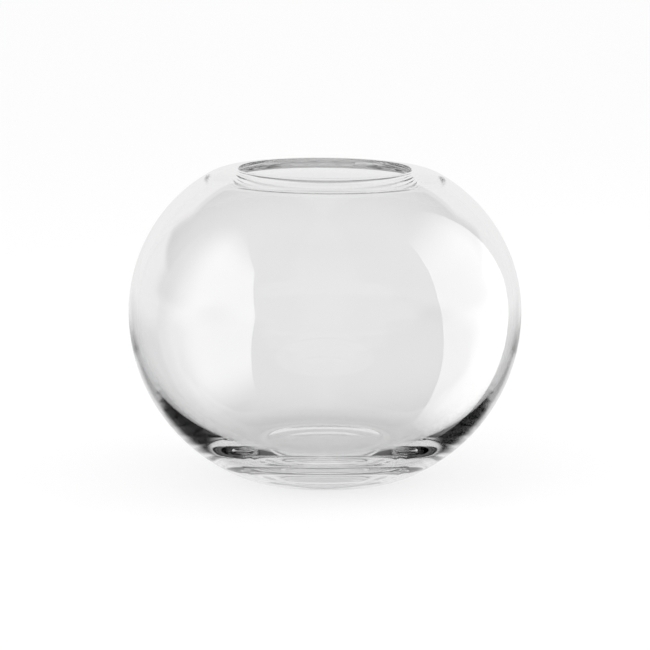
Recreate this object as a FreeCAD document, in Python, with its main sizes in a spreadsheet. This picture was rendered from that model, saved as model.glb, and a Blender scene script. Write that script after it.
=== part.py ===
import FreeCAD, Part
import math
import os

import Sketcher

# Rose bowl vase: one piece of blown clear glass, a body of revolution, in millimetres.
# The origin is the centre of the foot's resting plane, and +Z is up, along the axis.

# Driving dimensions: alias, value, what it is.
SIZES = [
    ("body_diameter", 180.0, "widest outside diameter, at the belly"),
    ("body_height", 142.8, "from the resting plane to the top of the lip"),
    ("belly_height", 76.2, "height of the widest circle above the resting plane"),
    ("mouth_diameter", 82.0, "diameter of the circle along the top of the lip"),
    ("lip_thickness", 4.7, "the fire-polished lip is a full round of this thickness"),
    ("wall_thickness", 3.7, "glass at the belly"),
    ("floor_thickness", 11.5, "height of the cavity's flat floor above the resting plane"),
    ("floor_diameter", 60.0, "diameter of the flat part of the cavity's floor"),
    ("foot_diameter", 64.0, "outside diameter of the flat resting ring"),
    ("ring_width", 4.0, "width of the resting ring, from the foot's outside to the hollow"),
    ("kick_depth", 2.5, "height of that hollow at the centre"),
    ("kick_round", 8.0, "rounding of the hollow's edge, wide because that edge is shallow"),
    ("cut_overrun", 5.0, "how far a cutting section runs past the glass"),
    # Each wall is two arcs from the belly on, and this is the share of its height in the first.
    ("crown_share", 0.945, "the crown's outside, from the belly up to the lip"),
    ("inner_crown_share", 0.935, "the crown's inside, from the belly up to the lip"),
    ("bowl_share", 0.97, "the outside, from the belly down to the foot"),
    ("cavity_share", 0.93, "the inside, from the belly down to the flat floor"),
]


def make_sizes(doc):
    """The sheet that holds every driving dimension under its alias."""
    sheet = doc.addObject("Spreadsheet::Sheet", "Sizes")
    for row, (alias, value, note) in enumerate(SIZES, start=1):
        sheet.set("A%d" % row, alias)
        sheet.set("B%d" % row, "%s" % value)
        sheet.setAlias("B%d" % row, alias)
        sheet.set("C%d" % row, note)
    doc.recompute()
    return sheet


def origin_plane(body, role):
    return next(f for f in body.Origin.OriginFeatures if f.Role == role)


def new_sketch(body, name):
    sketch = body.newObject("Sketcher::SketchObject", name)
    sketch.AttachmentSupport = [(origin_plane(body, "XZ_Plane"), "")]
    sketch.MapMode = "FlatFace"
    return sketch


def point(x, y):
    return FreeCAD.Vector(x, y, 0)


def arc(sketch, centre, radius, start, end):
    """Adds an arc that runs anticlockwise from one angle to the other, and gives its index."""
    circle = Part.Circle(centre, FreeCAD.Vector(0, 0, 1), radius)
    return sketch.addGeometry(Part.ArcOfCircle(circle, start, end), False)


def line(sketch, start, end):
    return sketch.addGeometry(Part.LineSegment(start, end), False)


START, END, CENTRE = 1, 2, 3
ORIGIN = (-1, START)


def join(sketch, first, first_end, second, second_end, smooth):
    kind = "Tangent" if smooth else "Coincident"
    sketch.addConstraint(Sketcher.Constraint(kind, first, first_end, second, second_end))


def drive(sketch, kind, places, value, expression):
    """Adds a dimension and ties it to the sheet."""
    index = sketch.addConstraint(Sketcher.Constraint(kind, *places, value))
    sketch.setExpression("Constraints[%d]" % index, expression)


def drive_x(sketch, geometry, place, value, expression):
    drive(sketch, "DistanceX", (*ORIGIN, geometry, place), value, expression)


def drive_y(sketch, geometry, place, value, expression):
    drive(sketch, "DistanceY", (*ORIGIN, geometry, place), value, expression)


def on_axis(sketch, geometry, place):
    sketch.addConstraint(Sketcher.Constraint("PointOnObject", geometry, place, -2))


def angle_to(centre, target):
    return math.atan2(target.y - centre.y, target.x - centre.x)


def draw_wall(sketch, start, end, share):
    """One side of the wall: an arc that leaves start upright, and one that brings it level to end.

    The first arc makes the given share of the height. Gives both arcs, each as its index, the end
    nearer the belly and the other end.
    """
    across, along = start.x - end.x, abs(end.y - start.y)
    upward = end.y > start.y
    wide = across / along
    root = math.sqrt((wide + 1) ** 2 - 4 * share * (wide - 1 + share))
    turn = 2 * math.atan((wide + 1 - root) / (2 * share))
    first_radius = share * along / math.sin(turn)
    second_radius = (1 - share) * along / (1 - math.sin(turn))
    first_centre = point(start.x - first_radius, start.y)
    if upward:
        second_centre = point(end.x, end.y - second_radius)
        first = arc(sketch, first_centre, first_radius, 0, turn)
        second = arc(sketch, second_centre, second_radius, turn, math.pi / 2)
        near, far = START, END
    else:
        second_centre = point(end.x, end.y + second_radius)
        first = arc(sketch, first_centre, first_radius, -turn, 0)
        second = arc(sketch, second_centre, second_radius, -math.pi / 2, -turn)
        near, far = END, START
    join(sketch, first, far, second, near, True)
    return (first, near, far), (second, near, far)


def drive_join(sketch, first, height, expression):
    """Sets how high a wall's second arc starts."""
    index, _, far = first
    drive_y(sketch, index, far, height, expression)


def draw_glass_section(sketch, sizes):
    """Half the glass wall, cut through the axis: outside, lip, inside, floor and underside."""
    level = sizes.belly_height
    belly = point(sizes.body_diameter / 2, level)
    inner_belly = point(belly.x - sizes.wall_thickness, level)
    lip_radius = sizes.lip_thickness / 2
    lip_centre = point(sizes.mouth_diameter / 2, sizes.body_height - lip_radius)
    lip_top = point(lip_centre.x, sizes.body_height)
    lip_bottom = point(lip_centre.x, sizes.body_height - sizes.lip_thickness)
    foot = point(sizes.foot_diameter / 2, 0)
    floor_edge = point(sizes.floor_diameter / 2, sizes.floor_thickness)
    floor_middle = point(0, sizes.floor_thickness)

    underside = line(sketch, point(0, 0), foot)
    bowl, foot_round = draw_wall(sketch, belly, foot, sizes.bowl_share)
    crown, shoulder = draw_wall(sketch, belly, lip_top, sizes.crown_share)
    lip = arc(sketch, lip_centre, lip_radius, math.pi / 2, 3 * math.pi / 2)
    inner_crown, inner_shoulder = draw_wall(
        sketch, inner_belly, lip_bottom, sizes.inner_crown_share
    )
    cavity, haunch = draw_wall(sketch, inner_belly, floor_edge, sizes.cavity_share)
    floor = line(sketch, floor_middle, floor_edge)
    axis = line(sketch, floor_middle, point(0, 0))

    sketch.addConstraint(Sketcher.Constraint("Coincident", underside, START, *ORIGIN))
    sketch.addConstraint(Sketcher.Constraint("Horizontal", underside))
    join(sketch, underside, END, foot_round[0], foot_round[2], True)
    join(sketch, bowl[0], bowl[1], crown[0], crown[1], True)
    join(sketch, shoulder[0], shoulder[2], lip, START, True)
    join(sketch, lip, END, inner_shoulder[0], inner_shoulder[2], True)
    join(sketch, inner_crown[0], inner_crown[1], cavity[0], cavity[1], True)
    join(sketch, haunch[0], haunch[2], floor, END, True)
    join(sketch, floor, START, axis, START, False)
    join(sketch, axis, END, underside, START, False)
    sketch.addConstraint(Sketcher.Constraint("Horizontal", floor))
    sketch.addConstraint(Sketcher.Constraint("Vertical", lip, START, lip, CENTRE))
    sketch.addConstraint(Sketcher.Constraint("Vertical", lip, END, lip, CENTRE))
    on_axis(sketch, floor, START)

    drive_x(sketch, underside, END, foot.x, "Sizes.foot_diameter / 2")
    drive_x(sketch, crown[0], crown[1], belly.x, "Sizes.body_diameter / 2")
    drive_y(sketch, crown[0], crown[1], level, "Sizes.belly_height")
    drive_y(sketch, crown[0], CENTRE, level, "Sizes.belly_height")
    drive_x(
        sketch,
        cavity[0],
        cavity[1],
        inner_belly.x,
        "Sizes.body_diameter / 2 - Sizes.wall_thickness",
    )
    drive_y(sketch, cavity[0], cavity[1], level, "Sizes.belly_height")
    drive_y(sketch, cavity[0], CENTRE, level, "Sizes.belly_height")
    drive(sketch, "Radius", (lip,), lip_radius, "Sizes.lip_thickness / 2")
    drive_x(sketch, lip, CENTRE, lip_centre.x, "Sizes.mouth_diameter / 2")
    drive_y(
        sketch, lip, CENTRE, lip_centre.y, "Sizes.body_height - Sizes.lip_thickness / 2"
    )
    drive_x(sketch, floor, END, floor_edge.x, "Sizes.floor_diameter / 2")
    drive_y(sketch, floor, START, sizes.floor_thickness, "Sizes.floor_thickness")
    drive_join(
        sketch,
        crown,
        level + sizes.crown_share * (lip_top.y - level),
        "Sizes.belly_height + Sizes.crown_share * (Sizes.body_height - Sizes.belly_height)",
    )
    drive_join(
        sketch,
        inner_crown,
        level + sizes.inner_crown_share * (lip_bottom.y - level),
        "Sizes.belly_height + Sizes.inner_crown_share"
        " * (Sizes.body_height - Sizes.lip_thickness - Sizes.belly_height)",
    )
    drive_join(
        sketch,
        bowl,
        level - sizes.bowl_share * level,
        "Sizes.belly_height - Sizes.bowl_share * Sizes.belly_height",
    )
    drive_join(
        sketch,
        cavity,
        level - sizes.cavity_share * (level - sizes.floor_thickness),
        "Sizes.belly_height"
        " - Sizes.cavity_share * (Sizes.belly_height - Sizes.floor_thickness)",
    )


def draw_kick_section(sketch, sizes):
    """Half the shallow dome that is ground out under the foot."""
    radius = sizes.foot_diameter / 2 - sizes.ring_width
    depth, overrun = sizes.kick_depth, sizes.cut_overrun
    dome_radius = (radius**2 + depth**2) / (2 * depth)
    dome_centre = point(0, depth - dome_radius)
    edge = point(radius, 0)

    below = line(sketch, point(0, -overrun), point(radius, -overrun))
    side = line(sketch, point(radius, -overrun), edge)
    dome = arc(sketch, dome_centre, dome_radius, angle_to(dome_centre, edge), math.pi / 2)
    axis = line(sketch, point(0, depth), point(0, -overrun))

    join(sketch, below, END, side, START, False)
    join(sketch, side, END, dome, START, False)
    join(sketch, dome, END, axis, START, False)
    join(sketch, axis, END, below, START, False)
    sketch.addConstraint(Sketcher.Constraint("Horizontal", below))
    sketch.addConstraint(Sketcher.Constraint("Vertical", side))
    on_axis(sketch, axis, START)
    on_axis(sketch, axis, END)
    on_axis(sketch, dome, CENTRE)
    sketch.addConstraint(Sketcher.Constraint("PointOnObject", side, END, -1))
    drive_x(sketch, side, END, radius, "Sizes.foot_diameter / 2 - Sizes.ring_width")
    drive_y(sketch, dome, END, depth, "Sizes.kick_depth")
    drive_y(sketch, below, START, -overrun, "-Sizes.cut_overrun")


def turn_about_axis(body, kind, name, sketch):
    feature = body.newObject(kind, name)
    feature.Profile = sketch
    feature.ReferenceAxis = (sketch, ["V_Axis"])
    feature.Angle = 360
    sketch.Visibility = False
    return feature


def circle_edges(shape, radius, height):
    """Names of the circular edges of that radius, round the axis at that height."""
    names = []
    for number, edge in enumerate(shape.Edges, start=1):
        if edge.Degenerated or not isinstance(edge.Curve, Part.Circle):
            continue
        same_radius = math.isclose(edge.Curve.Radius, radius, abs_tol=Part.Precision.confusion())
        same_height = math.isclose(edge.Curve.Center.z, height, abs_tol=Part.Precision.confusion())
        if same_radius and same_height:
            names.append("Edge%d" % number)
    return names


def make_glass_bowl(doc, sizes):
    """The whole vase, which is one piece of glass."""
    body = doc.addObject("PartDesign::Body", "GlassBowl")
    body.Label = "glass_bowl"

    glass_section = new_sketch(body, "GlassSection")
    draw_glass_section(glass_section, sizes)
    doc.recompute()
    turn_about_axis(body, "PartDesign::Revolution", "BlownWall", glass_section)
    doc.recompute()

    kick_section = new_sketch(body, "KickSection")
    draw_kick_section(kick_section, sizes)
    doc.recompute()
    kick = turn_about_axis(body, "PartDesign::Groove", "Kick", kick_section)
    doc.recompute()

    ring = body.newObject("PartDesign::Fillet", "KickRound")
    kick_radius = sizes.foot_diameter / 2 - sizes.ring_width
    ring.Base = (kick, circle_edges(kick.Shape, kick_radius, 0))
    ring.setExpression("Radius", "Sizes.kick_round")
    body.Tip = ring
    doc.recompute()
    return body


def check(doc, parts):
    for thing in doc.Objects:
        if "Invalid" in thing.State or "Error" in thing.State:
            raise RuntimeError("%s did not recompute: %s" % (thing.Name, thing.State))
        if thing.isDerivedFrom("Sketcher::SketchObject") and not thing.FullyConstrained:
            raise RuntimeError("%s is not fully constrained" % thing.Name)
    for part in parts:
        if part.Shape.isNull() or not part.Shape.isValid():
            raise RuntimeError("%s has no valid shape" % part.Label)


def main():
    doc = FreeCAD.newDocument("RoseBowlVase")
    sizes = make_sizes(doc)
    parts = [make_glass_bowl(doc, sizes)]
    doc.recompute()
    check(doc, parts)
    os.makedirs("parts", exist_ok=True)
    for part in parts:
        part.Shape.exportStep("parts/%s.step" % part.Label)
        box = part.Shape.BoundBox
        print(
            "%s: %d solid, %.1f x %.1f x %.1f mm, %.0f mm3 of glass"
            % (
                part.Label,
                len(part.Shape.Solids),
                box.XLength,
                box.YLength,
                box.ZLength,
                part.Shape.Volume,
            )
        )


main()
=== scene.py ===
import math

import bpy
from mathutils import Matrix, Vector


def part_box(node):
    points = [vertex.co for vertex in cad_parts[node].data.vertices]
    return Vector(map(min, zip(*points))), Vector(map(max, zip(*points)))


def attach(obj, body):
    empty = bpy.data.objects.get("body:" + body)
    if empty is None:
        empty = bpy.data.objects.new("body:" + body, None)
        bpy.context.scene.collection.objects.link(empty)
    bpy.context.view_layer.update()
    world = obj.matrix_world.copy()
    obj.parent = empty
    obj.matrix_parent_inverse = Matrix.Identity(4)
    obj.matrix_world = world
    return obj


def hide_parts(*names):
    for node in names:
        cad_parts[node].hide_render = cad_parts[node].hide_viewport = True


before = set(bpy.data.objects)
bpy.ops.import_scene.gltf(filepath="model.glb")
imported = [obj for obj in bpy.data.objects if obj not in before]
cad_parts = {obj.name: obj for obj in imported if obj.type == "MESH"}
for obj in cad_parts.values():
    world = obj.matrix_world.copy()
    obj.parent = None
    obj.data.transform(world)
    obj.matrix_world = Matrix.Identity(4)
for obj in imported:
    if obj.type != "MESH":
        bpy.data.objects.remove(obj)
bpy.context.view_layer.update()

# Rose bowl vase in clear glass, on a pale table between two soft boxes. Lengths are in metres.
# Heights are above the resting plane, and radii are from the axis.
CAD_LOW, CAD_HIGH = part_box("glass_bowl")
BELLY_RADIUS = CAD_HIGH.x
HEIGHT = CAD_HIGH.z
BELLY_LEVEL = 0.0762
MOUTH_RADIUS = 0.0410
LIP_THICKNESS = 0.0047
WALL = 0.0037
FLOOR_LEVEL = 0.0115
FLOOR_RADIUS = 0.0300
FOOT_RADIUS = 0.0320
KICK_RADIUS = 0.0280
KICK_DEPTH = 0.0025
KICK_ROUND = 0.0080

# The part of each wall's rise or drop that its first arc, from the belly, makes.
CROWN_SHARE = 0.945
INNER_CROWN_SHARE = 0.935
BOWL_SHARE = 0.970
CAVITY_SHARE = 0.930

# The lip is finished by hand, and stands a little higher at the left.
LIP_TILT = math.radians(0.5)

# How finely the glass is turned.
ROUND_STEPS = 216
ARC_STEP = math.radians(1.5)
SMALL_ARC_STEP = math.radians(6)
FLAT_STEPS = 8
# Points that are nearer than this are one point.
SAME_POINT = WALL / 1000

# Camera: its distance from the belly's centre, how far it looks down, and its lens.
CAMERA_DISTANCE = 1.30
CAMERA_ELEVATION = math.radians(9.4)
SENSOR_WIDTH_MM = 36
LENS_MM = 156.75
AIM_DROP = 0.0064


def arc(centre, radius, start, end, step=ARC_STEP):
    """Points of an arc from one angle to the other, as (radius, height)."""
    count = max(2, math.ceil(abs(end - start) / step))
    turns = [start + (end - start) * i / count for i in range(count + 1)]
    return [centre + radius * Vector((math.cos(a), math.sin(a))) for a in turns]


def straight(start, end):
    return [start.lerp(end, i / FLAT_STEPS) for i in range(FLAT_STEPS + 1)]


def angle_to(centre, target):
    return math.atan2(target.y - centre.y, target.x - centre.x)


def two_arcs(start, end, share):
    """A wall: an arc that leaves start upright, and one that takes it level to end."""
    across, along = start.x - end.x, abs(end.y - start.y)
    way = math.copysign(1, end.y - start.y)
    wide = across / along
    root = math.sqrt((wide + 1) ** 2 - 4 * share * (wide - 1 + share))
    turn = 2 * math.atan((wide + 1 - root) / (2 * share))
    first = share * along / math.sin(turn)
    second = (1 - share) * along / (1 - math.sin(turn))
    first_centre = start - Vector((first, 0))
    second_centre = end - Vector((0, way * second))
    return arc(first_centre, first, 0, way * turn) + arc(
        second_centre, second, way * turn, way * math.pi / 2
    )


def underside():
    """The shallow hollow under the foot, its rounded edge and the resting ring."""
    dome = (KICK_RADIUS**2 + KICK_DEPTH**2) / (2 * KICK_DEPTH)
    dome_centre = Vector((0, KICK_DEPTH - dome))
    drop = dome + KICK_ROUND - KICK_DEPTH
    edge_centre = Vector((math.sqrt((dome + KICK_ROUND) ** 2 - drop**2), KICK_ROUND))
    edge_turn = angle_to(dome_centre, edge_centre)
    return (
        arc(dome_centre, dome, math.pi / 2, edge_turn, ARC_STEP / 2)
        + arc(edge_centre, KICK_ROUND, edge_turn - math.pi, -math.pi / 2)
        + straight(Vector((edge_centre.x, 0)), Vector((FOOT_RADIUS, 0)))
    )


def glass_section():
    """The closed half section, from the axis under the foot to the axis on the floor."""
    belly = Vector((BELLY_RADIUS, BELLY_LEVEL))
    inner_belly = Vector((BELLY_RADIUS - WALL, BELLY_LEVEL))
    lip_top = Vector((MOUTH_RADIUS, HEIGHT))
    lip_bottom = Vector((MOUTH_RADIUS, HEIGHT - LIP_THICKNESS))
    foot = Vector((FOOT_RADIUS, 0))
    floor_edge = Vector((FLOOR_RADIUS, FLOOR_LEVEL))
    points = (
        underside()
        + two_arcs(belly, foot, BOWL_SHARE)[::-1]
        + two_arcs(belly, lip_top, CROWN_SHARE)
        + arc(
            lip_top.lerp(lip_bottom, 0.5),
            LIP_THICKNESS / 2,
            math.pi / 2,
            3 * math.pi / 2,
            SMALL_ARC_STEP,
        )
        + two_arcs(inner_belly, lip_bottom, INNER_CROWN_SHARE)[::-1]
        + two_arcs(inner_belly, floor_edge, CAVITY_SHARE)
        + straight(floor_edge, Vector((0, FLOOR_LEVEL)))
    )
    return [p for i, p in enumerate(points) if i == 0 or (p - points[i - 1]).length > SAME_POINT]


def tilted(x, y, z):
    """Above the belly the glass leans more and more, up to the lip's tilt."""
    rise = max(0, (z - BELLY_LEVEL) / (HEIGHT - BELLY_LEVEL))
    lean = rise * rise * (3 - 2 * rise) * math.tan(LIP_TILT)
    return x, y, z - (x + MOUTH_RADIUS) * lean


def turned_mesh(name, section):
    """Turns a half section, which starts and ends on the axis, about that axis."""
    vertices = [(0, 0, section[0].y)]
    for point in section[1:-1]:
        for i in range(ROUND_STEPS):
            turn = 2 * math.pi * i / ROUND_STEPS
            x, y = point.x * math.cos(turn), point.x * math.sin(turn)
            vertices.append(tilted(x, y, point.y))
    vertices.append((0, 0, section[-1].y))
    last = len(vertices) - 1
    rings = len(section) - 2
    faces = []
    for i in range(ROUND_STEPS):
        j = (i + 1) % ROUND_STEPS
        faces.append((0, 1 + j, 1 + i))
        for ring in range(rings - 1):
            low, high = 1 + ring * ROUND_STEPS, 1 + (ring + 1) * ROUND_STEPS
            faces.append((low + i, low + j, high + j, high + i))
        top = 1 + (rings - 1) * ROUND_STEPS
        faces.append((top + i, top + j, last))
    mesh = bpy.data.meshes.new(name)
    mesh.from_pydata(vertices, [], faces)
    mesh.polygons.foreach_set("use_smooth", [True] * len(faces))
    mesh.update()
    return mesh


def add_object(name, data):
    piece = bpy.data.objects.new(name, data)
    bpy.context.scene.collection.objects.link(piece)
    return piece


def new_material(name):
    material = bpy.data.materials.new(name)
    material.use_nodes = True
    material.node_tree.nodes.clear()
    return material, material.node_tree.nodes, material.node_tree.links


GLASS_INDEX = 1.5
# The absorption's grey and its density per metre.
GLASS_GREY = 0.5
GLASS_DENSITY = 1


def clear_glass():
    """Colourless glass, a little grey through its thickness."""
    material, nodes, links = new_material("clear_glass")
    output = nodes.new("ShaderNodeOutputMaterial")
    surface = nodes.new("ShaderNodeBsdfPrincipled")
    surface.inputs["Base Color"].default_value = (1, 1, 1, 1)
    surface.inputs["Roughness"].default_value = 0
    surface.inputs["IOR"].default_value = GLASS_INDEX
    surface.inputs["Transmission Weight"].default_value = 1
    depth = nodes.new("ShaderNodeVolumeAbsorption")
    depth.inputs["Color"].default_value = (GLASS_GREY, GLASS_GREY, GLASS_GREY, 1)
    depth.inputs["Density"].default_value = GLASS_DENSITY
    links.new(surface.outputs["BSDF"], output.inputs["Surface"])
    links.new(depth.outputs["Volume"], output.inputs["Volume"])
    return material


def make_vase():
    vase = add_object("blown_glass_bowl", turned_mesh("blown_glass_bowl", glass_section()))
    vase.data.materials.append(clear_glass())
    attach(vase, "root")
    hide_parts("glass_bowl")


TABLE_SIZE = 8.0
TABLE_WHITE = 0.9
# The eye and the glass see the table's paint mixed with this much plain white.
PLAIN_WHITE_SHARE = 0.8
# The glass sees that white with a painted shade, deeper near the vase than far off. Each reach
# runs between two distances from the axis.
NEAR_WHITE = 0.74
FAR_WHITE = 0.82
FAR_WHITE_REACH = (0.30, 1.20)
# Under the foot and just round it the glass sees the table with a painted shadow, at this share
# of its white.
FOOT_SHADE_SHARE = 0.80
FOOT_SHADE_REACH = (0.035, 0.080)

# The studio's brightness, where 1 is white: behind the vase, round the camera, and in a window
# behind the camera. A direction from the vase is a unit vector, with y to the back and z up, and
# each reach runs between two values of one part of it.
BACK_BRIGHTNESS = 0.86
FRONT_BRIGHTNESS = 0.60
WINDOW_BRIGHTNESS = 0.70
FRONT_TO_BACK = (-0.5, 0.5)
WINDOW_SIDE = (0.12, 0.35)
WINDOW_EDGES = (
    ("y", (-0.6, -0.3), 1, 0),
    ("z", (-0.05, 0.02), 0, 1),
    ("z", (0.40, 0.50), 1, 0),
)

# Dark screens stand at both sides, low screens lie below them, and one hangs overhead. The sides'
# edges are the sine of the turn from straight behind, or from the camera's side.
SIDE_SCREEN_EDGE = (0.82, 0.95)
SIDE_SCREEN_FOOT = (0.0, 0.1)
LOW_SCREEN_EDGE = (0.30, 0.50)
LOW_SCREEN_TOP = (-0.25, -0.05)
TOP_SCREEN_EDGE = (0.60, 0.80)
TOP_SCREEN_DARKNESS = 0.55
# The side screens grow wider in two steps, and then a little lighter.
WIDER = 0.20
WIDER_REACH = (0.22, 0.36)
WIDEST = 0.30
WIDEST_REACH = (0.48, 0.62)
UPPER_DARKNESS = 0.85
UPPER_REACH = (0.30, 0.60)
# Where the glass only reflects the screens, this much of their darkness shows in front, and all
# of it behind.
REFLECTED_DARKNESS = 0.0
REFLECTED_REACH = (-0.3, 0.3)
# Just over 1, so that nothing is divided by zero straight above.
ABOVE_ONE = 1.001


def link_value(nodes, links, operation, first, second=0.0):
    """A math node; each input is a number or another node's output."""
    node = nodes.new("ShaderNodeMath")
    node.operation = operation
    for socket, value in zip(node.inputs, (first, second)):
        if isinstance(value, (int, float)):
            socket.default_value = value
        else:
            links.new(value, socket)
    return node.outputs[0]


def link_fade(nodes, links, value, reach, at_start, at_end):
    """A smooth step from one number to the other, while the value runs through its reach."""
    node = nodes.new("ShaderNodeMapRange")
    node.interpolation_type = "SMOOTHSTEP"
    node.inputs["From Min"].default_value = reach[0]
    node.inputs["From Max"].default_value = reach[1]
    node.inputs["To Min"].default_value = at_start
    node.inputs["To Max"].default_value = at_end
    links.new(value, node.inputs["Value"])
    return node.outputs["Result"]


def pale_table():
    """White paint, which takes the shadow, and part plain white to the eye and to the glass,
    which sees that white with a painted shadow round the foot and a painted shade near the vase.
    """
    material, nodes, links = new_material("pale_table")
    output = nodes.new("ShaderNodeOutputMaterial")
    paint = nodes.new("ShaderNodeBsdfDiffuse")
    paint.inputs["Color"].default_value = (TABLE_WHITE, TABLE_WHITE, TABLE_WHITE, 1)
    white = nodes.new("ShaderNodeEmission")
    rays = nodes.new("ShaderNodeLightPath")
    through_glass = rays.outputs["Is Transmission Ray"]
    place = nodes.new("ShaderNodeTexCoord")
    length = nodes.new("ShaderNodeVectorMath")
    length.operation = "LENGTH"
    links.new(place.outputs["Object"], length.inputs[0])
    from_axis = length.outputs["Value"]
    # Painted shadow under and round the foot, seen only through the glass.
    painted_foot_shadow = link_fade(nodes, links, from_axis, FOOT_SHADE_REACH, FOOT_SHADE_SHARE, 1)
    # Painted shade: to the glass the table's white is darker near the vase than far off.
    plain = link_fade(nodes, links, from_axis, FAR_WHITE_REACH, NEAR_WHITE, FAR_WHITE)
    glass_sees = link_value(nodes, links, "MULTIPLY", painted_foot_shadow, plain)
    hidden = link_value(nodes, links, "SUBTRACT", 1, glass_sees)
    dimming = link_value(nodes, links, "MULTIPLY", through_glass, hidden)
    links.new(link_value(nodes, links, "SUBTRACT", 1, dimming), white.inputs["Strength"])
    seen = link_value(nodes, links, "MAXIMUM", rays.outputs["Is Camera Ray"], through_glass)
    share = link_value(nodes, links, "MULTIPLY", seen, PLAIN_WHITE_SHARE)
    mix = nodes.new("ShaderNodeMixShader")
    links.new(share, mix.inputs["Fac"])
    links.new(paint.outputs["BSDF"], mix.inputs[1])
    links.new(white.outputs["Emission"], mix.inputs[2])
    links.new(mix.outputs["Shader"], output.inputs["Surface"])
    return material


def flat_panel(name, corners):
    mesh = bpy.data.meshes.new(name)
    mesh.from_pydata(corners, [], [range(len(corners))])
    return add_object(name, mesh)


def make_table():
    half = TABLE_SIZE / 2
    corners = [(-half, -half, 0), (half, -half, 0), (half, half, 0), (-half, half, 0)]
    table = flat_panel("table", corners)
    table.data.materials.append(pale_table())
    table.visible_glossy = False


def make_world():
    """White to the eye and the table. The glass sees a light studio with dark screens in it."""
    world = bpy.data.worlds.new("studio")
    bpy.context.scene.world = world
    world.use_nodes = True
    nodes, links = world.node_tree.nodes, world.node_tree.links
    nodes.clear()
    place = nodes.new("ShaderNodeTexCoord")
    axes = nodes.new("ShaderNodeSeparateXYZ")
    links.new(place.outputs["Generated"], axes.inputs["Vector"])
    x, y, z = axes.outputs["X"], axes.outputs["Y"], axes.outputs["Z"]
    brightness = link_fade(nodes, links, y, FRONT_TO_BACK, FRONT_BRIGHTNESS, BACK_BRIGHTNESS)

    sideways = link_value(nodes, links, "ABSOLUTE", x)
    window = link_fade(nodes, links, sideways, WINDOW_SIDE, 1, 0)
    for axis, reach, at_start, at_end in WINDOW_EDGES:
        edge = link_fade(nodes, links, {"y": y, "z": z}[axis], reach, at_start, at_end)
        window = link_value(nodes, links, "MULTIPLY", window, edge)
    window = link_value(nodes, links, "MULTIPLY", window, WINDOW_BRIGHTNESS - FRONT_BRIGHTNESS)
    brightness = link_value(nodes, links, "ADD", brightness, window)

    level_part = link_value(nodes, links, "MULTIPLY", z, z)
    level_part = link_value(nodes, links, "SUBTRACT", ABOVE_ONE, level_part)
    level_part = link_value(nodes, links, "SQRT", level_part)
    aside = link_value(nodes, links, "DIVIDE", sideways, level_part)
    wide = link_fade(nodes, links, z, WIDER_REACH, 0, WIDER)
    wide = link_value(nodes, links, "ADD", aside, wide)
    widest = link_fade(nodes, links, z, WIDEST_REACH, 0, WIDEST)
    wide = link_value(nodes, links, "ADD", wide, widest)
    side = link_fade(nodes, links, wide, SIDE_SCREEN_EDGE, 0, 1)
    foot = link_fade(nodes, links, z, SIDE_SCREEN_FOOT, 0, 1)
    side = link_value(nodes, links, "MULTIPLY", side, foot)
    upper = link_fade(nodes, links, z, UPPER_REACH, 1, UPPER_DARKNESS)
    side = link_value(nodes, links, "MULTIPLY", side, upper)
    low = link_fade(nodes, links, aside, LOW_SCREEN_EDGE, 0, 1)
    below = link_fade(nodes, links, z, LOW_SCREEN_TOP, 1, 0)
    low = link_value(nodes, links, "MULTIPLY", low, below)
    top = link_fade(nodes, links, z, TOP_SCREEN_EDGE, 0, TOP_SCREEN_DARKNESS)
    dark = link_value(nodes, links, "MAXIMUM", side, low)
    dark = link_value(nodes, links, "MAXIMUM", dark, top)
    rays = nodes.new("ShaderNodeLightPath")
    reflected = link_fade(nodes, links, y, REFLECTED_REACH, REFLECTED_DARKNESS, 1)
    shown = link_value(nodes, links, "MAXIMUM", rays.outputs["Is Transmission Ray"], reflected)
    dark = link_value(nodes, links, "MULTIPLY", dark, shown)
    light = link_value(nodes, links, "SUBTRACT", 1, dark)
    brightness = link_value(nodes, links, "MULTIPLY", brightness, light)

    studio = nodes.new("ShaderNodeBackground")
    studio.inputs["Color"].default_value = (1, 1, 1, 1)
    links.new(brightness, studio.inputs["Strength"])
    white = nodes.new("ShaderNodeBackground")
    white.inputs["Color"].default_value = (1, 1, 1, 1)
    mix = nodes.new("ShaderNodeMixShader")
    output = nodes.new("ShaderNodeOutputWorld")
    plain = link_value(
        nodes, links, "MAXIMUM", rays.outputs["Is Camera Ray"], rays.outputs["Is Diffuse Ray"]
    )
    links.new(plain, mix.inputs["Fac"])
    links.new(studio.outputs["Background"], mix.inputs[1])
    links.new(white.outputs["Background"], mix.inputs[2])
    links.new(mix.outputs["Shader"], output.inputs["Surface"])


def make_camera():
    data = bpy.data.cameras.new("camera")
    data.sensor_width = SENSOR_WIDTH_MM
    data.lens = LENS_MM
    camera = add_object("camera", data)
    belly = Vector((0, 0, BELLY_LEVEL))
    away = Vector((0, -math.cos(CAMERA_ELEVATION), math.sin(CAMERA_ELEVATION)))
    camera.location = belly + CAMERA_DISTANCE * away
    aim = belly - Vector((0, 0, AIM_DROP))
    camera.rotation_euler = (aim - camera.location).to_track_quat("-Z", "Y").to_euler()
    bpy.context.scene.camera = camera


# The soft boxes' corners as seen from the vase, as (azimuth, elevation) in degrees. Azimuth 0
# is the camera's side, and it grows to the right. They go round from the edge nearest the camera.
BOX_DISTANCE = 0.8
LEFT_BOX = [(-46, -40), (-108, -43), (-108, 0), (-104, 52), (-84, 56), (-47, 35), (-39, 7)]
RIGHT_BOX = [(81, -54), (125, -50), (130, 5), (120, 50), (75, 54), (67, 14), (68, -6)]
LEFT_BOX_BRIGHTNESS = 4.3
RIGHT_BOX_BRIGHTNESS = 3.6
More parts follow.
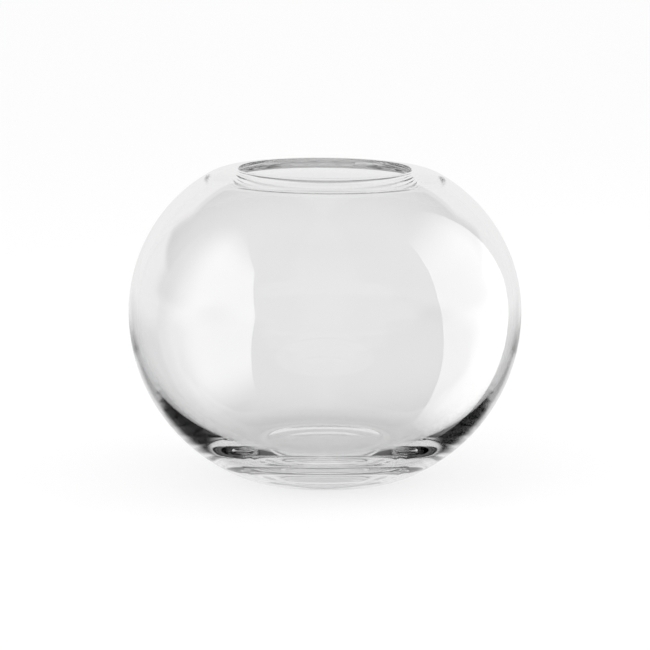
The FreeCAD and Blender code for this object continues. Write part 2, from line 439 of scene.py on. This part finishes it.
# Each box fades at its foot and top, and towards its far side, to these shares of its brightness.
# Each reach is a part of the box's height or depth.
LEFT_BOX_FAR_SHARE = 0.1
RIGHT_BOX_FAR_SHARE = 0.7
BOX_FAR_REACH = (0.60, 0.95)
BOX_FOOT_SHARE = 0.2
BOX_FOOT_REACH = (0.0, 0.25)
BOX_TOP_SHARE = 0.1
BOX_TOP_REACH = (0.70, 1.0)


def towards(azimuth, elevation):
    azimuth, elevation = math.radians(azimuth), math.radians(elevation)
    return Vector(
        (
            math.sin(azimuth) * math.cos(elevation),
            -math.cos(azimuth) * math.cos(elevation),
            math.sin(elevation),
        )
    )


def soft_box(name, corners, brightness, far_share):
    """A glowing screen beside the vase, seen in its reflections and by the table."""
    centre = Vector((0, 0, BELLY_LEVEL))
    side = math.copysign(BOX_DISTANCE, corners[0][0])
    places = []
    for azimuth, elevation in corners:
        way = towards(azimuth, elevation)
        places.append(centre + way * (side / way.x))
    box = flat_panel(name, places)
    material, nodes, links = new_material(name)
    output = nodes.new("ShaderNodeOutputMaterial")
    glow = nodes.new("ShaderNodeEmission")
    place = nodes.new("ShaderNodeTexCoord")
    axes = nodes.new("ShaderNodeSeparateXYZ")
    links.new(place.outputs["Generated"], axes.inputs["Vector"])
    depth, height = axes.outputs["Y"], axes.outputs["Z"]
    strength = link_fade(nodes, links, depth, BOX_FAR_REACH, brightness, brightness * far_share)
    foot = link_fade(nodes, links, height, BOX_FOOT_REACH, BOX_FOOT_SHARE, 1)
    strength = link_value(nodes, links, "MULTIPLY", strength, foot)
    top = link_fade(nodes, links, height, BOX_TOP_REACH, 1, BOX_TOP_SHARE)
    strength = link_value(nodes, links, "MULTIPLY", strength, top)
    links.new(strength, glow.inputs["Strength"])
    links.new(glow.outputs["Emission"], output.inputs["Surface"])
    box.data.materials.append(material)
    box.visible_camera = False
    box.visible_transmission = False


def make_lamps():
    soft_box("left_soft_box", LEFT_BOX, LEFT_BOX_BRIGHTNESS, LEFT_BOX_FAR_SHARE)
    soft_box("right_soft_box", RIGHT_BOX, RIGHT_BOX_BRIGHTNESS, RIGHT_BOX_FAR_SHARE)


# Thick clear glass needs many bounces.
BOUNCES = 40


def set_view():
    scene = bpy.context.scene
    scene.view_settings.view_transform = "Standard"
    scene.cycles.max_bounces = BOUNCES
    scene.cycles.transmission_bounces = BOUNCES
    scene.cycles.glossy_bounces = BOUNCES


make_vase()
make_table()
make_world()
make_lamps()
make_camera()
set_view()
